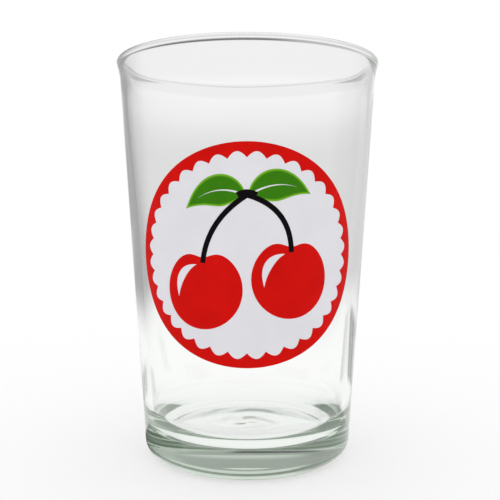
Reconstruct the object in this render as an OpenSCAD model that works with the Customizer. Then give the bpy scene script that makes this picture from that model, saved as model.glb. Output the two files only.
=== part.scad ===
// Juice glass: a tapered tumbler with a thick foot and a beaded rim, and a
// fired enamel medallion of two cherries on its front.
// The origin is at the centre of the foot on the table, +Z is up, and the
// medallion faces -Y.

/* [Tumbler] */
// Height from the table to the top of the rim
height = 108; // [85:1:150]
// Outer diameter across the bead of the rim
rim_d = 71.4; // [62:0.2:84]
// Outer diameter of the wall's cone, produced down to the table
base_d = 56.8; // [48:0.2:61]
// Thickness of the side wall at the rim, square to its face
wall_t = 1.4; // [1:0.1:2.4]
// Thickness that the side wall grows to, produced down to the table
wall_low_t = 2.6; // [1:0.1:3.4]
// How far the fire-polished bead stands proud of the outer wall
bead_out = 0.65; // [0.3:0.05:1]

/* [Foot] */
// Thickness of glass from the table to the floor inside
floor_t = 7.2; // [4:0.2:14]
// Radius of the rounded heel outside
heel_r = 4.5; // [3:0.5:8]
// Radius of the cove between the wall and the floor inside
cove_r = 8; // [3:0.1:9]
// Diameter of the shallow hollow under the foot
hollow_d = 43; // [24:1:44]
// Depth of that hollow at its centre
hollow_h = 0.4; // [0.3:0.1:2]

/* [Medallion] */
// Thickness of the fired enamel
enamel_t = 0.1; // [0.06:0.01:0.2]
// Clearance between the wall and the enamel on it
enamel_gap = 0.01; // [0.005:0.005:0.03]
// Width of the medallion, measured round the wall
medallion_w = 60; // [44:1:66]
// Height of the medallion, measured up the wall
medallion_h = 54; // [44:1:66]
// Height of the medallion's centre above the middle of the plain wall
medallion_lift = 1.4; // [-6:0.2:6]
// Width of the red border at its narrowest
border_w = 2.2; // [1:0.1:3]
// How far the points between the scallops reach in from the border
scallop_h = 1.5; // [0.5:0.1:2.4]
// Number of scallops round the border
scallop_count = 36; // [24:2:48]

/* [Cherries] */
// Diameter of each cherry
cherry_d = 19.5; // [16:0.5:21]
// Depth of the dimple at the top of a cherry
dimple_h = 2; // [0.6:0.1:2.4]
// Distance between the centres of the cherries
cherry_gap = 21.5; // [21:0.5:24]
// Height of the left cherry's centre above the bottom of the medallion
cherry_up = 19; // [17:0.2:21]
// How much higher the right cherry hangs than the left one
cherry_step = 2.6; // [0:0.2:4]
// Width of the shine on a cherry
shine_w = 2; // [1:0.1:3]

/* [Stems and leaves] */
// Width of a stem
stem_w = 1.3; // [0.8:0.1:2]
// Drop from the top of the medallion to the joint of the stems
joint_down = 12.4; // [11:0.2:14]
// Width of the woody joint where the stems meet
joint_w = 4.6; // [3:0.2:6]
// Length of each leaf
leaf_l = 16; // [12:0.5:17]
// Width of each leaf
leaf_w = 7.6; // [5:0.2:9]
// Width of the pale midrib in a leaf
midrib_w = 0.55; // [0.4:0.05:1]

/* [Hidden] */
$fn = 180;

// Run of every cut past the face that it opens
overrun = 1;
// Overlap that lets an arc run into a straight side without a sliver
blend = 0.001;

// Radius and centre of the bead, flush with the inner wall but for the blend
bead_r = (wall_t + bead_out) / 2;
bead_at = [rim_d / 2 - bead_r - blend, height - bead_r - blend];

// Lean of the wall: the outer face runs from base_d at the table past the
// bead's centre at the distance that puts the inner face on the bead
lean_run = [bead_at[0] - base_d / 2, bead_at[1]];
lean = atan2(lean_run[0], lean_run[1]) + asin((wall_t - bead_r) / norm(lean_run));

// Radii of the outer and inner faces, produced down to the table
outer_r0 = base_d / 2;
inner_r0 = outer_r0 - wall_low_t / cos(lean);
function wall_r(z) = outer_r0 + z * tan(lean);

// Lean of the inner face, which touches the bead, and the height where it does
inner_run = [bead_at[0] - inner_r0, bead_at[1]];
inner_lean = atan2(inner_run[0], inner_run[1]) - asin(bead_r / norm(inner_run));
wall_top = bead_at[1] + bead_r * sin(inner_lean);

// Sphere that hollows the foot
hollow_r = (pow(hollow_d / 2, 2) + pow(hollow_h, 2)) / (2 * hollow_h);

// Height of the medallion's centre
heel_top = heel_r * (1 - sin(lean));
medallion_z = (heel_top + bead_at[1] - bead_r) / 2 + medallion_lift;

// Points to a side on ribbons, and round a cherry and an ellipse
ribbon_steps = 16;
cherry_steps = 48;
ellipse_steps = 96;
scallop_steps = 6;

// Centres of the cherries and the joint of their stems, flat
left_cherry = [-cherry_gap / 2, cherry_up - medallion_h / 2];
right_cherry = left_cherry + [cherry_gap, cherry_step];
stem_joint = [0, medallion_h / 2 - joint_down];

// Bends of the stems, as shares of the way across and up to the joint
left_bend_share = [0.1, 0.62];
right_bend_share = [0.02, 0.78];
// Course of the shine on a cherry, as shares of its diameter
shine_share = [[-0.34, -0.1], [-0.36, 0.25], [-0.08, 0.31]];
// Course of a leaf from the joint, as shares of its length
right_leaf_share = [[0.02, -0.01], [0.5, 0.3], [0.98, 0.02]];
left_leaf_share = [[-0.02, -0.01], [-0.5, 0.22], [-0.94, -0.2]];
// Part of a leaf's course that its midrib keeps
midrib_share = [0, 0.8];
// Power that draws a leaf's fullest part towards its base, and the power
// that keeps a cherry's dimple narrow
leaf_power = 0.78;
dimple_power = 16;

// Point and left-hand normal of a quadratic curve through three poles
function curve_at(p, t) =
    (1 - t) * (1 - t) * p[0] + 2 * t * (1 - t) * p[1] + t * t * p[2];
function curve_normal(p, t) =
    let (d = (1 - t) * (p[1] - p[0]) + t * (p[2] - p[1]))
    [-d[1], d[0]] / norm(d);

// Outline of a ribbon of the given half widths along a curve, from the share
// a of its course to the share b; a half width of zero is a pointed end
function ribbon(p, half, a = 0, b = 1) =
    let (n = len(half) - 1,
         first = half[0] == 0 ? 1 : 0,
         last = half[n] == 0 ? 1 : 0)
    concat(
        [for (i = [0:n]) let (t = a + (b - a) * i / n)
            curve_at(p, t) + half[i] * curve_normal(p, t)],
        [for (i = [n - last:-1:first]) let (t = a + (b - a) * i / n)
            curve_at(p, t) - half[i] * curve_normal(p, t)]);

// Half widths of a leaf or shine, pointed at both ends
function leaf_half(w, power) =
    [for (i = [0:ribbon_steps])
        i == 0 || i == ribbon_steps ? 0
            : w / 2 * sin(180 * pow(i / ribbon_steps, power))];

// Half widths of a stem or midrib, even or drawn out to a point
function even_half(w) = [for (i = [0:ribbon_steps]) w / 2];
function drawn_half(w) =
    [for (i = [0:ribbon_steps]) w / 2 * (1 - i / ribbon_steps)];

// A flat point lies at a distance round the wall and a height up it; wrapped
// points are where these lie on the cone, seen square on from the front
function wrapped(points) =
    [for (p = points)
        let (z = medallion_z + p[1] * cos(lean), r = wall_r(z))
        [r * sin(p[0] / r * 180 / PI), z]];

module wrapped_shape(points) {
    polygon(wrapped(points));
}

// Ellipse of given half axes, whose edge may be drawn out into scallops
module ellipse_shape(a, b, scallop = 0, steps = ellipse_steps) {
    wrapped_shape([for (i = [0:steps - 1])
        let (turn = 360 * i / steps,
             out = scallop * abs(sin(turn * scallop_count / 2)))
        [(a + out) * cos(turn), (b + out) * sin(turn)]]);
}

module border_inside() {
    ellipse_shape(medallion_w / 2 - border_w - scallop_h,
                  medallion_h / 2 - border_w - scallop_h,
                  scallop_h, scallop_count * scallop_steps);
}

module cherry_shape(at) {
    wrapped_shape([for (i = [0:cherry_steps - 1])
        let (turn = 360 * i / cherry_steps,
             r = cherry_d / 2 - dimple_h * pow(max(0, sin(turn)), dimple_power))
        at + [r * cos(turn), r * sin(turn)]]);
}

module shine_shape(at) {
    course = [for (p = shine_share) at + cherry_d * p];
    wrapped_shape(ribbon(course, leaf_half(shine_w, 1)));
}

// A stem runs from the floor of the dimple to the joint
module stem_shape(at, bend) {
    foot = at + [0, cherry_d / 2 - dimple_h - stem_w];
    rise = stem_joint - foot;
    course = [foot, foot + [rise[0] * bend[0], rise[1] * bend[1]], stem_joint];
    wrapped_shape(ribbon(course, even_half(stem_w)));
}

module joint_shape() {
    course = [stem_joint - [joint_w / 2, 0], stem_joint + [0, stem_w],
              stem_joint + [joint_w / 2, 0]];
    wrapped_shape(ribbon(course, even_half(stem_w)));
}

module leaf_shape(share) {
    course = [for (p = share) stem_joint + leaf_l * p];
    difference() {
        wrapped_shape(ribbon(course, leaf_half(leaf_w, leaf_power)));
        wrapped_shape(ribbon(course, drawn_half(midrib_w), midrib_share[0], midrib_share[1]));
    }
}

module cherry_shapes() {
    cherry_shape(left_cherry);
    cherry_shape(right_cherry);
}

module shine_shapes() {
    shine_shape(left_cherry);
    shine_shape(right_cherry);
}

module stem_shapes() {
    stem_shape(left_cherry, left_bend_share);
    stem_shape(right_cherry, right_bend_share);
    joint_shape();
}

module leaf_shapes() {
    leaf_shape(left_leaf_share);
    leaf_shape(right_leaf_share);
}

// Everything that is printed in place of the white and the border
module motif_shapes() {
    cherry_shapes();
    leaf_shapes();
    stem_shapes();
}

// Skin of enamel thickness on the front of the cone, cut to a wrapped shape
module enamel() {
    low = medallion_z - medallion_h / 2 - overrun;
    high = medallion_z + medallion_h / 2 + overrun;
    under = enamel_gap / cos(lean);
    over = under + enamel_t / cos(lean);
    intersection() {
        rotate_extrude()
            polygon([[wall_r(low) + under, low], [wall_r(low) + over, low],
                     [wall_r(high) + over, high], [wall_r(high) + under, high]]);
        rotate([90, 0, 0])
            linear_extrude(height = rim_d / 2 + overrun)
                children();
    }
}

// Half section of a cup: a floor at height low, a corner of radius corner,
// and a side of radius r0 at the table that leans by tilt up to height high
module cup_section(r0, tilt, low, corner, high) {
    centre = [r0 + (low + corner) * tan(tilt) - corner / cos(tilt), low + corner];
    polygon([[0, low], [centre[0], low], centre,
             centre + (corner - blend) * [cos(tilt), -sin(tilt)],
             [r0 + high * tan(tilt), high], [0, high]]);
    translate(centre) circle(corner);
}

// The tumbler is one piece of soda-lime glass
module glass() {
    color([0.86, 0.93, 0.89, 0.5])
        rotate_extrude() {
            difference() {
                cup_section(outer_r0, lean, 0, heel_r, wall_top);
                cup_section(inner_r0, inner_lean, floor_t, cove_r, height + overrun);
                translate([0, hollow_h - hollow_r]) circle(hollow_r);
            }
            translate(bead_at) circle(bead_r + blend);
        }
}

module white_ground() {
    color([0.82, 0.82, 0.84])
        enamel()
            difference() {
                border_inside();
                motif_shapes();
            }
}

module red_border() {
    color([0.84, 0.05, 0.01])
        enamel()
            difference() {
                ellipse_shape(medallion_w / 2, medallion_h / 2);
                border_inside();
                motif_shapes();
            }
}

module cherries() {
    color([0.84, 0.05, 0.01])
        enamel()
            difference() {
                cherry_shapes();
                shine_shapes();
                stem_shapes();
            }
}

module cherry_shines() {
    color([0.82, 0.82, 0.84])
        enamel() shine_shapes();
}

module leaves() {
    color([0.2, 0.51, 0.04])
        enamel()
            difference() {
                leaf_shapes();
                stem_shapes();
            }
}

module stems() {
    color([0.02, 0.01, 0.02])
        enamel() stem_shapes();
}

glass();
white_ground();
red_border();
cherries();
cherry_shines();
leaves();
stems();
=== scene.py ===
from math import asin, atan2, cos, hypot, pi, radians, sin, tan

import bpy
import numpy as np
from mathutils import Matrix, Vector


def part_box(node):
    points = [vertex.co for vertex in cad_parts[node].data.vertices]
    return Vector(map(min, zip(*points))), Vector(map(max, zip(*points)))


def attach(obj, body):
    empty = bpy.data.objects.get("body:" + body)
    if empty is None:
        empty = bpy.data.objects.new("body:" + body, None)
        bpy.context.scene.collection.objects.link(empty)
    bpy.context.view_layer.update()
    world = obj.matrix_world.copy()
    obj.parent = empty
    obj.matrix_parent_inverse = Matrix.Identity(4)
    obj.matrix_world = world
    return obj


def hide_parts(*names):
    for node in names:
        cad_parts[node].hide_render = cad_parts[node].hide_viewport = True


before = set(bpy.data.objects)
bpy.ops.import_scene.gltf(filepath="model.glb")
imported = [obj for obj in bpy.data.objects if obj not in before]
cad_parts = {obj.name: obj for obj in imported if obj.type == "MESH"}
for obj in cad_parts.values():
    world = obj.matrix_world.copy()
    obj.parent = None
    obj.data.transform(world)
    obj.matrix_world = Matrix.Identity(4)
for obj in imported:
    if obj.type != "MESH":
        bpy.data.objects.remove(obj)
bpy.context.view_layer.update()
MM = 0.001


# Camera. A normal lens close to the glass, a little above its middle and
# tipped slightly down, so that the foot is seen from above and the rim from
# below. The place and the lens come from the glass's outline in the picture.
PICTURE_PX = 500
FOCAL_PX = 700.3
SENSOR = 36.0
CAMERA_AT = (0.72 * MM, -196.74 * MM, 67.44 * MM)
CAMERA_TIP = 0.0565
CAMERA_ROLL = 0.0012

lens = bpy.data.cameras.new("camera")
lens.sensor_width = SENSOR
lens.lens = FOCAL_PX / PICTURE_PX * SENSOR
lens.clip_start = 0.01
camera = bpy.data.objects.new("camera", lens)
bpy.context.scene.collection.objects.link(camera)
camera.matrix_world = (Matrix.Translation(CAMERA_AT)
                       @ Matrix.Rotation(pi / 2 - CAMERA_TIP, 4, "X")
                       @ Matrix.Rotation(CAMERA_ROLL, 4, "Z"))
bpy.context.scene.camera = camera


# Tumbler. One piece of soda-lime glass: a thick foot that is hollow beneath, a
# thin leaning wall and a rim melted to a bead. It is turned from a half section
# and given the slight ripples that the mould and the plunger leave inside.
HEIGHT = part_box("glass")[1].z
RIM_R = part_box("glass")[1].x
BASE_R = 28.4 * MM
WALL = 1.4 * MM
LOW_WALL = 2.6 * MM
BEAD_R = 1.025 * MM
CRISP_FILLET = 0.5 * MM
CRISP_FLARE = 0.28 * MM
SOFT_FILLET = 20.0 * MM
SOFT_FLARE = 0.05 * MM
FLARE_H = 9.0 * MM
CRISP_TURN = radians(268)
CRISP_REACH = (cos(radians(82)), cos(radians(50)))
FLOOR = 7.2 * MM
HEEL_R = 4.5 * MM
COVE_R = 8.0 * MM
HOLLOW_R = 21.5 * MM
HOLLOW_H = 0.4 * MM
SWIRL_H = 0.045 * MM
SWIRL_EYE = 2.5 * MM
SWIRL_END = 17 * MM
WAVE_H = 0.02 * MM
WAVE_START = 16 * MM
WAVE_RISE = 14 * MM
WAVE_STOP = 4 * MM
WAVE_FALL = 10 * MM
TURNS = 288

bead_at = np.array([RIM_R - BEAD_R, HEIGHT - BEAD_R])
lean = (atan2(bead_at[0] - BASE_R, bead_at[1])
        + asin((WALL - BEAD_R) / hypot(bead_at[0] - BASE_R, bead_at[1])))
along = np.array([sin(lean), cos(lean)])
outward = np.array([cos(lean), -sin(lean)])

# The wall grows thicker downwards, so its inner face leans a little more.
inner_r0 = BASE_R - LOW_WALL / cos(lean)
inner_lean = (atan2(bead_at[0] - inner_r0, bead_at[1])
              - asin(BEAD_R / hypot(bead_at[0] - inner_r0, bead_at[1])))
inner_outward = np.array([cos(inner_lean), -sin(inner_lean)])


def wall_r(z):
    """Radius of the outer wall at a height: a straight line that leans out."""
    return BASE_R + z * tan(lean)


def arc(centre, radius, start, stop, count):
    """Points on a circle from one angle to another, in radius and height."""
    turn = np.linspace(start, stop, count)
    return np.asarray(centre) + radius * np.stack([np.cos(turn), np.sin(turn)], 1)


def line(start, stop, count):
    """Evenly spaced points on a straight run."""
    share = np.linspace(0, 1, count)[:, None]
    return np.asarray(start) * (1 - share) + np.asarray(stop) * share


def corner_centre(r0, tilt, low, radius):
    """Centre of a corner of a given radius between a floor and a leaning side."""
    return np.array([r0 + (low + radius) * tan(tilt) - radius / cos(tilt), low + radius])


heel_at = corner_centre(BASE_R, lean, 0, HEEL_R)
cove_at = corner_centre(inner_r0, inner_lean, FLOOR, COVE_R)
hollow_ball = (HOLLOW_R ** 2 + HOLLOW_H ** 2) / (2 * HOLLOW_H)


def half_section(fillet, flare):
    """The glass in half section, from the axis under the foot, up outside,
    over the bead and down inside. The wall swells by the flare just below the
    rim, and the fillet touches both the swell and the bead's circle."""
    swell = WALL + flare - BEAD_R + fillet
    fillet_at = bead_at + outward * swell - along * ((BEAD_R + fillet) ** 2 - swell ** 2) ** 0.5
    to_bead = atan2(*(bead_at - fillet_at)[::-1])
    wall = line(heel_at + HEEL_R * outward, fillet_at - (fillet + flare) * outward, 96)
    near = np.clip(1 - np.linalg.norm(wall[-1] - wall, axis=1) / FLARE_H, 0, 1)
    wall = wall + (flare * near ** 2 * (3 - 2 * near))[:, None] * outward
    return np.concatenate([
        arc((0, HOLLOW_H - hollow_ball), hollow_ball, pi / 2,
            pi / 2 - asin(HOLLOW_R / hollow_ball), 25),
        line((HOLLOW_R, 0), (heel_at[0], 0), 5)[1:],
        arc(heel_at, HEEL_R, -pi / 2, -lean, 28)[1:],
        wall[1:],
        arc(fillet_at, fillet, pi - lean, to_bead, 14)[1:],
        arc(bead_at, BEAD_R, to_bead - pi, pi - inner_lean, 36)[1:],
        line(bead_at - BEAD_R * inner_outward, cove_at + COVE_R * inner_outward, 48)[1:],
        arc(cove_at, COVE_R, -inner_lean, -pi / 2, 28)[1:],
        line((cove_at[0], FLOOR), (0, FLOOR), 56)[1:],
    ])


def skin(rings, ends=None):
    """Closed skin over rings of points, one row to a ring, with its faces
    turned outwards by the sign of the space that it holds. With two end
    points the first and last rings close on them, and without them the last
    ring joins the first."""
    rows, cols = rings.shape[:2]
    row, col = np.meshgrid(np.arange(rows - (ends is not None)), np.arange(cols),
                           indexing="ij")
    here, there = row * cols, (row + 1) % rows * cols
    right = (col + 1) % cols
    quads = np.stack([here + col, here + right, there + right, there + col], 2).reshape(-1, 4)
    points = rings.reshape(-1, 3)
    a, b, c, d = (points[quads[:, k]] for k in range(4))
    space = np.sum(a * np.cross(b, c)) + np.sum(a * np.cross(c, d))
    caps = np.empty((0, 3), int)
    if ends is not None:
        points = np.concatenate([points, ends])
        edge, after, top = np.arange(cols), right[0], (rows - 1) * cols
        start, stop = np.full(cols, rows * cols), np.full(cols, rows * cols + 1)
        caps = np.concatenate([np.stack([start, after, edge], 1),
                               np.stack([stop, edge + top, after + top], 1)])
        a, b, c = (points[caps[:, k]] for k in range(3))
        space += np.sum(a * np.cross(b, c))
    turned = slice(None, None, -1 if space < 0 else 1)
    return points, quads[:, turned].tolist() + caps[:, turned].tolist()


def turns_of(count):
    """Even steps round one whole turn."""
    return np.arange(count) * 2 * pi / count


def lathe(points, others, share, ripple):
    """Turns a half section that starts and ends on the axis into a closed
    skin. It gives way to another section by a share for each step of the
    turn, and ripple(r, z, turn) moves each point out and up."""
    turn = turns_of(len(share))
    r, z = (points[1:-1, k:k + 1] * (1 - share) + others[1:-1, k:k + 1] * share for k in (0, 1))
    out, up = ripple(r, z, turn[None, :])
    r, z = r + out, z + up
    rings = np.stack([r * np.cos(turn), r * np.sin(turn), z], 2)
    return skin(rings, np.array([[0, 0, points[0, 1]], [0, 0, points[-1, 1]]]))


def ripples(r, z, turn):
    """The floor has a faint swirl that dies out before the cove, and the inner
    wall has long shallow waves that the bead and the cove hold still. Both are
    sums of sines of the turn and of the way out or up."""
    inside = (z > FLOOR - MM) & (r < wall_r(z) - 0.6 * WALL)
    floor = inside & (z < FLOOR + 0.01 * MM)
    calm = np.clip(1 - r / SWIRL_END, 0, 1) ** 0.7 * np.clip(r / SWIRL_EYE, 0, 1)
    swirl = (np.sin(r / (1.15 * MM) + 2 * turn + 0.8 * np.sin(3 * turn))
             + 0.6 * np.sin(r / (2.3 * MM) - turn))
    up = np.where(floor, SWIRL_H * calm * swirl, 0)
    held = (np.clip((z - WAVE_START) / WAVE_RISE, 0, 1)
            * np.clip((HEIGHT - WAVE_STOP - z) / WAVE_FALL, 0, 1))
    wave = (np.sin(5 * turn + z / (9 * MM)) + np.sin(3 * turn - z / (14 * MM) + 1.1)
            + 0.7 * np.sin(8 * turn + z / (21 * MM)))
    out = np.where(inside & ~floor, WAVE_H * held * wave, 0)
    return out, up


def new_piece(name, points, faces):
    """A smooth-shaded mesh object from arrays of points and faces."""
    mesh = bpy.data.meshes.new(name)
    mesh.from_pydata(points.tolist(), [], faces)
    mesh.shade_smooth()
    mesh.update()
    piece = bpy.data.objects.new(name, mesh)
    bpy.context.scene.collection.objects.link(piece)
    return piece


class Wire:
    """An output of a node; arithmetic on it adds Math nodes."""

    def __init__(self, paint, socket):
        self.paint, self.socket = paint, socket

    def math(self, operation, *others):
        return self.paint.node("ShaderNodeMath", {"operation": operation},
                               dict(enumerate((self, *others))))["Value"]

    def __add__(self, other):
        return self.math("ADD", other)

    def __radd__(self, other):
        return self.math("ADD", other)

    def __mul__(self, other):
        return self.math("MULTIPLY", other)

    def __rmul__(self, other):
        return self.math("MULTIPLY", other)

    def __sub__(self, other):
        return self.math("SUBTRACT", other)

    def __rsub__(self, other):
        return self.paint.node("ShaderNodeMath", {"operation": "SUBTRACT"},
                               {0: other, 1: self})["Value"]


class Outputs:
    """The outputs of a node, by name, as wires."""

    def __init__(self, paint, node):
        self.paint, self.made = paint, node

    def __getitem__(self, name):
        return Wire(self.paint, self.made.outputs[name])


class Paint:
    """A node tree. node() adds one node: its settings, then its sockets, each
    by name or place, from a number, a colour or a wire."""

    def __init__(self, tree):
        self.tree = tree
        tree.nodes.clear()

    def node(self, kind, settings=None, sockets=None):
        made = self.tree.nodes.new(kind)
        for name, value in (settings or {}).items():
            setattr(made, name, value)
        for name, value in (sockets or {}).items():
            if isinstance(value, Wire):
                self.tree.links.new(value.socket, made.inputs[name])
            else:
                made.inputs[name].default_value = value
        return Outputs(self, made)


def new_material(name):
    """A material and its nodes. None of them is a lamp, so no light is looked
    for on its surface."""
    material = bpy.data.materials.new(name)
    material.use_nodes = True
    material.cycles.emission_sampling = "NONE"
    return material, Paint(material.node_tree)


# How strongly the glass takes red, green and blue out of light, for a metre of
# its way. The colour of an absorber is what it lets by at its density.
GLASS_TAKES = np.array([8.4, 5.9, 8.6])
GLASS_IOR = 1.52
ABSORBER_DENSITY = 100.0
# Painted light: a ray that has been reflected inside the glass as often as a render
# follows it makes the glass glow with a share of the room's light, not black.
LAST_REFLECTION = 4.5
ROOM_SHARE = 0.42

clear_glass, paint = new_material("clear_glass")
spent_glow = paint.node("ShaderNodeLightPath")["Glossy Depth"].math("GREATER_THAN", LAST_REFLECTION)
surface = paint.node("ShaderNodeBsdfPrincipled", None, {
    "Base Color": (1, 1, 1, 1), "Roughness": 0.0, "IOR": GLASS_IOR,
    "Transmission Weight": 1.0, "Emission Color": spent_glow * ROOM_SHARE, "Emission Strength": 1.0})
body = paint.node("ShaderNodeVolumeAbsorption", None, {
    "Color": (*(1 - GLASS_TAKES / ABSORBER_DENSITY), 1), "Density": ABSORBER_DENSITY})
paint.node("ShaderNodeOutputMaterial", None,
           {"Surface": surface["BSDF"], "Volume": body["Volume"]})

# The underside of the bead is crisp round the front, where the flame left it
# so, and melts softly into the wall round the back.
turn = turns_of(TURNS)
crisp = np.clip((np.cos(turn - CRISP_TURN) - CRISP_REACH[0]) / (CRISP_REACH[1] - CRISP_REACH[0]), 0, 1)
crisp = crisp ** 2 * (3 - 2 * crisp)
tumbler = new_piece("tumbler", *lathe(half_section(SOFT_FILLET, SOFT_FLARE),
                                      half_section(CRISP_FILLET, CRISP_FLARE), crisp, ripples))
tumbler.data.materials.append(clear_glass)
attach(tumbler, "root")
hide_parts("glass")


# White ground. Opaque white enamel, screen printed on the outside of the wall
# and fired on. It is bitten into the glass by a few hundredths of a
# millimetre and lies under the rest of the print.
MEDALLION_W = 60 * MM
MEDALLION_H = 54 * MM
MEDALLION_LIFT = 1.4 * MM
BORDER_W = 2.2 * MM
SCALLOP_H = 1.5 * MM
SCALLOPS = 36
EDGE_ROUND = 0.03 * MM
GROUND_PROUD = 0.05 * MM
GROUND_SUNK = 0.03 * MM
PRINT_PROUD = 0.08 * MM
PRINT_SUNK = 0.05 * MM
TOP_PROUD = 0.11 * MM
TOP_SUNK = 0.07 * MM
PATCH_SCALE = 110.0
GRAIN_SCALE = 1900.0
GRAIN_SHARE = 0.5
GRAIN_H = 0.003 * MM
ENAMEL_IOR = 1.5
ENAMEL_SHINE = 0.06
SMOOTHEST = 0.18
ROUGHER = 0.14
# Share of its colour that an enamel's back glows with, as painted light.
BACK_GLOW_SHARE = 0.5
# A count of how often a ray was bent or reflected is over this from once on.
ONCE = 0.5
medallion_z = (HEEL_R * (1 - sin(lean)) + bead_at[1] - BEAD_R) / 2 + MEDALLION_LIFT


def on_wall(flat, lift):
    """Lays flat points on the outer wall. A point is a distance round the wall
    and a height up its slope, from the medallion's centre. The distance over
    the wall's radius is the turn, and the lift stands square to the wall."""
    z = medallion_z + flat[..., 1] * cos(lean)
    r = wall_r(z)
    turn = flat[..., 0] / r
    r = r + lift * cos(lean)
    return np.stack([r * np.sin(turn), -r * np.cos(turn), z - lift * sin(lean)], -1)


def section_of(steps, both):
    """Section of a print, once round: over the face in even steps, down the
    second edge by a rounded corner, back inside the wall, and where both edges
    are free, up the first one. Each point has its share of the way across, its
    step in from the edge in roundings, and its height: 1 is the face, 0 the
    back, and a part of a rounding is taken off between."""
    face = np.linspace(0, 1, steps + 1)[1:-1]
    still = np.zeros(steps - 1)
    share = [*face, 1, 1, 1, 1, *face[::-1]]
    inset = [*still, -1, -0.3, 0, 0, *still]
    top = [*(still + 1), 1, 1, 1, 0, *still]
    cut = [*still, 0, 0.3, 1, 0, *still]
    if both:
        share, inset = share + [0, 0, 0, 0], inset + [0, 0, 0.3, 1]
        top, cut = top + [0, 1, 1, 1], cut + [0, 1, 0.3, 0]
    return [np.array(v) for v in (share, inset, top, cut)]


def across(a, b, proud, sunk, steps, both=True):
    """A print between the flat points of two edges, as a grid of points on
    the wall with a section for each pair of points. The rounding takes 0.4 of
    the width at most, where the print runs out to a point."""
    share, inset, top, cut = section_of(steps, both)
    lift = top * (proud + sunk) - sunk - cut * EDGE_ROUND
    share, inset = share[None, :, None], inset[None, :, None]
    a, b = a[:, None, :], b[:, None, :]
    width = np.maximum(np.linalg.norm(b - a, axis=2, keepdims=True), 1e-9)
    step = inset * np.minimum(EDGE_ROUND, 0.4 * width) / width
    return on_wall(a + (b - a) * (share + step), lift[None, :])


def printed_disc(centre, edge, proud, sunk, steps):
    """A print that fills a closed edge round its centre."""
    middle = np.repeat(centre[None, :], len(edge), 0)
    rings = across(middle, edge, proud, sunk, steps, both=False).transpose(1, 0, 2)
    return skin(rings, on_wall(centre[None, :], np.array([proud, -sunk])))


def ellipse(a, b, turn):
    """Flat points of an ellipse with half axes a and b, at each turn."""
    return np.stack([a * np.cos(turn), b * np.sin(turn)], -1)


def joined(*parts):
    """Several skins as the points and faces of one mesh."""
    points, faces, count = [], [], 0
    for part_points, part_faces in parts:
        points.append(part_points)
        faces += [[corner + count for corner in face] for face in part_faces]
        count += len(part_points)
    return np.concatenate(points), faces


def srgb(*levels):
    """A colour as the eye sees it, 0 to 255, turned into light, and opaque."""
    share = np.array(levels) / 255
    light = np.where(share <= 0.04045, share / 12.92, ((share + 0.055) / 1.055) ** 2.4)
    return (*light.tolist(), 1.0)


def mixed(paint, factor, low, high):
    """A colour between two others by a factor from 0 to 1."""
    return paint.node("ShaderNodeMix", {"data_type": "RGBA"}, {0: factor, 6: low, 7: high})[2]


def fired_enamel(paint, thin, full):
    """Fired enamel: its thickness varies in soft patches and in the fine grain
    of the screen, so the colour runs from thin to full, and the gloss and the
    surface vary with it. Its back shows only through the glass, where a render
    loses light on the way in, so there the back glows with painted light, a
    share of its colour, for a ray that has passed through glass at least once."""
    place = paint.node("ShaderNodeTexCoord")["Object"]
    patches, grain = (paint.node("ShaderNodeTexNoise", None,
                                 {"Vector": place, "Scale": scale, "Detail": 2.0})["Fac"]
                      for scale in (PATCH_SCALE, GRAIN_SCALE))
    colour = mixed(paint, patches + (grain - 0.5) * GRAIN_SHARE, thin, full)
    # Painted light: seen through glass, the back glows with a share of its colour.
    behind = paint.node("ShaderNodeLightPath")["Transmission Depth"].math("GREATER_THAN", ONCE)
    bump = paint.node("ShaderNodeBump", None,
                      {"Strength": 0.5, "Distance": GRAIN_H, "Height": patches * 3 + grain})
    surface = paint.node("ShaderNodeBsdfPrincipled", None, {
        "Base Color": colour, "Roughness": SMOOTHEST + patches * ROUGHER, "IOR": ENAMEL_IOR,
        "Specular IOR Level": ENAMEL_SHINE, "Normal": bump["Normal"],
        "Emission Color": mixed(paint, behind * BACK_GLOW_SHARE, (0, 0, 0, 1), colour),
        "Emission Strength": 1.0})
    paint.node("ShaderNodeOutputMaterial", None, {"Surface": surface["BSDF"]})


white_enamel, paint = new_material("white_enamel")
fired_enamel(paint, srgb(218, 217, 222), srgb(228, 227, 232))

ground_edge = ellipse(MEDALLION_W / 2 - BORDER_W / 2, MEDALLION_H / 2 - BORDER_W / 2, turns_of(240))
white_ground = new_piece("white_ground_print",
                         *printed_disc(np.zeros(2), ground_edge, GROUND_PROUD, GROUND_SUNK, 40))
white_ground.data.materials.append(white_enamel)
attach(white_ground, "root")
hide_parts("white_ground")


# Red border. A ring of red enamel printed over the edge of the white, with
# scallops on its inner side.
red_enamel, paint = new_material("red_enamel")
fired_enamel(paint, srgb(190, 7, 3), srgb(218, 12, 5))

turn = turns_of(SCALLOPS * 12)
scallop = SCALLOP_H * np.abs(np.sin(turn * SCALLOPS / 2))
inside = BORDER_W + SCALLOP_H - scallop
inner_edge = ellipse(MEDALLION_W / 2 - inside, MEDALLION_H / 2 - inside, turn)
outer_edge = ellipse(MEDALLION_W / 2, MEDALLION_H / 2, turn)
red_border = new_piece("red_border_print", *skin(across(inner_edge, outer_edge,
                                                        PRINT_PROUD, PRINT_SUNK, 7)))
red_border.data.materials.append(red_enamel)
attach(red_border, "root")
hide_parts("red_border")


# Cherries. Two round cherries in the same red, each with a narrow dimple
# where its stem goes in.
CHERRY_R = 19.5 / 2 * MM
DIMPLE_H = 2 * MM
DIMPLE_POWER = 16
left_cherry = np.array([-21.5 / 2 * MM, 19 * MM - MEDALLION_H / 2])
right_cherry = left_cherry + np.array([21.5, 2.6]) * MM

turn = turns_of(192)
reach = CHERRY_R - DIMPLE_H * np.maximum(0, np.sin(turn)) ** DIMPLE_POWER
round_edge = ellipse(reach, reach, turn)
cherries = new_piece("cherry_prints", *joined(
    *(printed_disc(centre, centre + round_edge, PRINT_PROUD, PRINT_SUNK, 16)
      for centre in (left_cherry, right_cherry))))
cherries.data.materials.append(red_enamel)
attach(cherries, "root")
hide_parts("cherries")


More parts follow.
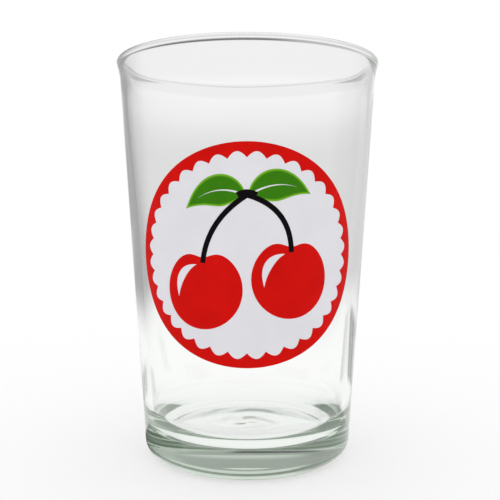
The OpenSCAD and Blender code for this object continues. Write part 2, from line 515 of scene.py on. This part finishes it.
# Shines. A white crescent on the upper left of each cherry, printed on the
# red and drawn out to a point at both ends.
SHINE_W = 2 * MM
SHINE_COURSE = 2 * CHERRY_R * np.array([[-0.34, -0.1], [-0.36, 0.25], [-0.08, 0.31]])
RIBBON_STEPS = 6


def curve(poles, share):
    """Points and left-hand normals of a quadratic curve through three poles."""
    t = share[:, None]
    point = (1 - t) ** 2 * poles[0] + 2 * t * (1 - t) * poles[1] + t ** 2 * poles[2]
    way = (1 - t) * (poles[1] - poles[0]) + t * (poles[2] - poles[1])
    way = way / np.linalg.norm(way, axis=1, keepdims=True)
    return point, np.stack([-way[:, 1], way[:, 0]], 1)


def printed_ribbon(a, b, proud, sunk, steps):
    """A print between two free edges, closed at both ends."""
    rings = across(a, b, proud, sunk, steps)
    return skin(rings, np.stack([rings[0].mean(0), rings[-1].mean(0)]))


def ribbon(poles, half, share):
    """A print along a curve, over all the others, with a half width at each
    share of its course."""
    point, normal = curve(poles, share)
    return printed_ribbon(point + half[:, None] * normal, point - half[:, None] * normal,
                          TOP_PROUD, TOP_SUNK, RIBBON_STEPS)


def shares_between(start, stop, count):
    """Shares of a course that crowd at both ends: half of one less the cosine
    of even steps of half a turn, which leave out a little at each end."""
    return (1 - np.cos(np.linspace(start, pi - stop, count))) / 2


share = shares_between(0.03, 0.03, 40)
shines = new_piece("cherry_shine_prints", *joined(
    *(ribbon(centre + SHINE_COURSE, SHINE_W / 2 * np.sin(pi * share), share)
      for centre in (left_cherry, right_cherry))))
shines.data.materials.append(white_enamel)
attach(shines, "root")
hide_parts("cherry_shines")


# Leaves. Two green leaves spring from the joint of the stems. Each is printed
# as two halves, which leave a thin tapering midrib of the white between them.
LEAF_L = 16 * MM
LEAF_W = 7.6 * MM
LEAF_POWER = 0.78
MIDRIB_W = 0.55 * MM
MIDRIB_END = 0.8
LEAF_STEPS = 14
THIN_EDGE = (0.15, 0.75)
stem_joint = np.array([0, MEDALLION_H / 2 - 12.4 * MM])
RIGHT_LEAF = stem_joint + LEAF_L * np.array([[0.02, -0.01], [0.5, 0.3], [0.98, 0.02]])
LEFT_LEAF = stem_joint + LEAF_L * np.array([[-0.02, -0.01], [-0.5, 0.22], [-0.94, -0.2]])


def leaf_halves(poles):
    """Both halves of a leaf: the outer edge swells as the sine of the share of
    the course to a power, and the inner edge follows the midrib. Each comes
    with the distance of its points from the outer edge, in millimetres."""
    share = shares_between(0.05, 0.02, 72)
    point, normal = curve(poles, share)
    slit = MIDRIB_W / 2 * np.maximum(0, 1 - share / MIDRIB_END)
    half = np.maximum(LEAF_W / 2 * np.sin(pi * share ** LEAF_POWER), slit + 0.001 * MM)
    inward = (half - slit)[:, None] * (1 - section_of(LEAF_STEPS, True)[0])
    inward = np.append(inward, [0, 0]) / MM
    for side in (1, -1):
        yield printed_ribbon(point + side * slit[:, None] * normal,
                             point + side * half[:, None] * normal,
                             PRINT_PROUD, PRINT_SUNK, LEAF_STEPS), inward


# The edge of the green is thinner and lets more of the yellow through. It
# passes into the full green between two distances inward, in millimetres.
green_enamel, paint = new_material("green_enamel")
inward = paint.node("ShaderNodeAttribute", {"attribute_name": "inward"})["Fac"]
body_share = paint.node("ShaderNodeMapRange", {"interpolation_type": "SMOOTHSTEP"},
                        {"Value": inward, "From Min": THIN_EDGE[0],
                         "From Max": THIN_EDGE[1]})["Result"]
fired_enamel(paint, mixed(paint, body_share, srgb(104, 168, 30), srgb(48, 108, 8)),
             mixed(paint, body_share, srgb(126, 184, 44), srgb(60, 132, 12)))
halves = [*leaf_halves(LEFT_LEAF), *leaf_halves(RIGHT_LEAF)]
leaves = new_piece("leaf_prints", *joined(*(half for half, inward in halves)))
leaves.data.attributes.new("inward", "FLOAT", "POINT").data.foreach_set(
    "value", np.concatenate([inward for half, inward in halves]))
leaves.data.materials.append(green_enamel)
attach(leaves, "root")
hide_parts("leaves")


# Stems. A thin black stem rises from each dimple to the woody joint, which
# lies over the roots of the leaves.
STEM_W = 1.3 * MM
JOINT_W = 4.6 * MM
LEFT_BEND = np.array([0.1, 0.62])
RIGHT_BEND = np.array([0.02, 0.78])


def stem(cherry, bend):
    """The course of a stem, from the floor of the dimple to the joint."""
    foot = cherry + np.array([0, CHERRY_R - DIMPLE_H - STEM_W])
    return np.stack([foot, foot + (stem_joint - foot) * bend, stem_joint])


black_enamel, paint = new_material("black_enamel")
fired_enamel(paint, srgb(5, 2, 5), srgb(12, 8, 11))
share = np.linspace(0, 1, 48)
even = np.full(len(share), STEM_W / 2)
joint = stem_joint + np.array([[-JOINT_W / 2, 0], [0, STEM_W], [JOINT_W / 2, 0]])
stems = new_piece("stem_prints", *joined(
    ribbon(stem(left_cherry, LEFT_BEND), even, share),
    ribbon(stem(right_cherry, RIGHT_BEND), even, share),
    ribbon(joint, even, share)))
stems.data.materials.append(black_enamel)
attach(stems, "root")
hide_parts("stems")


# Floor and light. A white sheet lies on a table in a pale room, evenly lit, and
# the eye sees plain white round the glass. Only what the glass bends or
# reflects is the room itself, whose duller parts draw its edges and lines.
FLOOR_SIZE = 4.0
FLOOR_DROP = 0.05 * MM
FLOOR_GLOW = 0.5

# Where the sheet ends. The way to the side counts more than the way back, and
# more on the left than on the right.
SHEET_FRONT = (-160 * MM, -85 * MM)
SHEET_END = (240 * MM, 480 * MM)
SHEET_SIDES = (4.4, 2.2)
SHEET_MIDDLE = (-20 * MM, 20 * MM)

# A strip slants back and out from a point beside the glass. It has a side, the
# distances where it starts and stops, and a level.
DIM_STRIPS = ((1, 50 * MM, 205 * MM, 0.3), (-1, 32 * MM, 80 * MM, 0.5))
STRIP_FROM = (30 * MM, 8 * MM)
STRIP_BEARING = radians(35)
STRIP_HALF = (radians(6), radians(12))
STRIP_START = 15 * MM
STRIP_STOP = (0.8, 1.1)

# A painted shade lies beside the heel, for what is reflected in the foot. It has a
# side, the distances where it starts and stops, and a level.
HEEL_SHADES = ((-1, 27 * MM, 47 * MM, 0.1), (1, 46 * MM, 70 * MM, 0.2))
SHADE_Y = 8 * MM
SHADE_DEPTH = (16 * MM, 24 * MM)
SHADE_SOFT = 3 * MM

# The room by its bearings and by the sines of its heights. Each pair is a run
# in which one level passes into the next.
LEFT_EDGE = (radians(13), radians(30))
RIGHT_EDGE = (radians(22), radians(36))
HORIZON = 0.74
HORIZON_TOP = (sin(radians(3)), sin(radians(9)))
BACKDROP = 0.95
BACKDROP_TOP = (sin(radians(9.5)), sin(radians(12)))
BACKDROP_HIGH = 0.94
BACKDROP_FADE = (sin(radians(17.6)), sin(radians(19.8)))
BACKDROP_DIM = 0.54
LEFT = 0.4
RIGHT = 0.68
LEFT_TO_RIGHT = (-0.5, 0.5)
FRONT = 0.78
WALL_END = (radians(62), radians(84))
CEILING = 0.7
CEILING_EDGE = (sin(radians(46)), sin(radians(54)))
DARK = 0.11
DARK_AT = radians(-16)
DARK_SIDE = (radians(18), radians(26))
DARK_LOW = (sin(radians(24)), sin(radians(28)))


def ramp(paint, value, run, low, high):
    """A smooth change from low to high while a value goes through its run."""
    return paint.node("ShaderNodeMapRange", {"interpolation_type": "SMOOTHSTEP"},
                      {"Value": value, "From Min": run[0], "From Max": run[1],
                       "To Min": low, "To Max": high})["Result"]


def level(paint, share, low, high):
    """A level between two others by a share from 0 to 1."""
    return paint.node("ShaderNodeMix", {"data_type": "FLOAT"}, {0: share, 2: low, 3: high})[0]


def room(paint, x, y, rise):
    """Brightness of the room in a direction, whose rise is the sine of its
    height. Its bearing is the turn from straight behind, right as plus. The
    backdrop is brightest a little above the horizon and dims in two steps over
    that. The walls lie beside it and pass into the front, the ceiling is over
    them all, and the dark patch reaches up to the ceiling's edge."""
    bearing = x.math("ARCTAN2", y)
    walls = level(paint, ramp(paint, bearing, LEFT_TO_RIGHT, 0, 1), LEFT, RIGHT)
    walls = level(paint, ramp(paint, bearing.math("ABSOLUTE"), WALL_END, 0, 1), walls, FRONT)
    backdrop = (ramp(paint, rise, HORIZON_TOP, HORIZON, BACKDROP)
                * ramp(paint, rise, BACKDROP_TOP, 1.0, BACKDROP_HIGH)
                * ramp(paint, rise, BACKDROP_FADE, 1.0, BACKDROP_DIM))
    beside = (ramp(paint, bearing, RIGHT_EDGE, 0, 1)
              + ramp(paint, bearing, (-LEFT_EDGE[1], -LEFT_EDGE[0]), 1, 0))
    lower = level(paint, beside, backdrop, walls)
    upper = level(paint, ramp(paint, rise, CEILING_EDGE, 0, 1), lower, CEILING)
    dark = (ramp(paint, (bearing - DARK_AT).math("ABSOLUTE"), DARK_SIDE, 1, 0)
            * ramp(paint, rise, DARK_LOW, 0, 1) * ramp(paint, rise, CEILING_EDGE, 1, 0))
    return level(paint, dark, upper, DARK)


def in_strip(paint, x, y, side, near, far):
    """One within a strip and zero outside it: the bearing from its point is
    near the strip's own, and the distance from there lies between its ends.
    The strip starts over a short run and stops between two shares of far."""
    off_x, off_y = x * side - STRIP_FROM[0], y - STRIP_FROM[1]
    off = (off_x * off_x + off_y * off_y).math("SQRT")
    turned = (off_x.math("ARCTAN2", off_y) - STRIP_BEARING).math("ABSOLUTE")
    return (ramp(paint, turned, STRIP_HALF, 1, 0)
            * ramp(paint, off, (near, near + STRIP_START), 0, 1)
            * ramp(paint, off, (STRIP_STOP[0] * far, STRIP_STOP[1] * far), 1, 0))


def in_shade(paint, x, y, side, near, far):
    """One within a heel's shade and zero outside it: the way out to its side
    lies between its ends, and the way back is near its own place."""
    return (ramp(paint, x * side, (near - SHADE_SOFT, near + SHADE_SOFT), 0, 1)
            * ramp(paint, x * side, (far - SHADE_SOFT, far + SHADE_SOFT), 1, 0)
            * ramp(paint, (y + SHADE_Y).math("ABSOLUTE"), SHADE_DEPTH, 1, 0))


floor_white, paint = new_material("floor_white")
place = paint.node("ShaderNodeSeparateXYZ", None,
                   {"Vector": paint.node("ShaderNodeTexCoord")["Object"]})
x, y = place["X"], place["Y"]
path = paint.node("ShaderNodeLightPath")
wide = ramp(paint, x, SHEET_MIDDLE, *SHEET_SIDES)
away = (x * x * wide + y * y).math("SQRT")
table = level(paint, ramp(paint, away, SHEET_END, 0, 1), 1.0, room(paint, x, y, 0.0))
table = level(paint, ramp(paint, y, SHEET_FRONT, 0, 1), FRONT, table)
for side, near, far, dim in DIM_STRIPS:
    table = table * ramp(paint, in_strip(paint, x, y, side, near, far), (0, 1), 1, dim)
reflected = path["Glossy Depth"].math("GREATER_THAN", ONCE)
for side, near, far, dim in HEEL_SHADES:
    shade = in_shade(paint, x, y, side, near, far) * reflected
    table = table * ramp(paint, shade, (0, 1), 1, dim)

# The eye sees the floor half as plain white and half as it is lit, which keeps
# the shadow of the glass. What the glass bends or reflects is the table.
seen = level(paint, path["Is Camera Ray"], table, 1.0)
glow = (path["Is Camera Ray"] * FLOOR_GLOW).math(
    "MAXIMUM", (path["Is Glossy Ray"] + path["Is Transmission Ray"]).math("MINIMUM", 1.0))
lit = paint.node("ShaderNodeBsdfDiffuse", None, {"Color": (1, 1, 1, 1)})
white = paint.node("ShaderNodeEmission", None, {"Color": seen, "Strength": 1.0})
surface = paint.node("ShaderNodeMixShader", None, {0: glow, 1: lit["BSDF"], 2: white["Emission"]})
paint.node("ShaderNodeOutputMaterial", None, {"Surface": surface["Shader"]})

# The floor lies a hair under the foot, so that the two share no face.
half = FLOOR_SIZE / 2
floor = new_piece("floor", np.array([[-half, -half, -FLOOR_DROP], [half, -half, -FLOOR_DROP],
                                     [half, half, -FLOOR_DROP], [-half, half, -FLOOR_DROP]]),
                  [[0, 1, 2, 3]])
floor.data.materials.append(floor_white)

# Plain white is all round for the eye and for what lights a matt surface. Only
# a ray that glass or gloss has turned sees the room.
world = bpy.data.worlds.new("room")
bpy.context.scene.world = world
world.use_nodes = True
paint = Paint(world.node_tree)
way = paint.node("ShaderNodeSeparateXYZ", None,
                 {"Vector": paint.node("ShaderNodeTexCoord")["Generated"]})
path = paint.node("ShaderNodeLightPath")
through = ((path["Glossy Depth"] + path["Transmission Depth"]).math("GREATER_THAN", ONCE)
           * path["Diffuse Depth"].math("LESS_THAN", ONCE))
strength = level(paint, through, 1.0, room(paint, way["X"], way["Y"], way["Z"]))
light = paint.node("ShaderNodeBackground", None, {"Color": (1, 1, 1, 1), "Strength": strength})
paint.node("ShaderNodeOutputWorld", None, {"Surface": light["Background"]})

bpy.context.scene.view_settings.view_transform = "Standard"
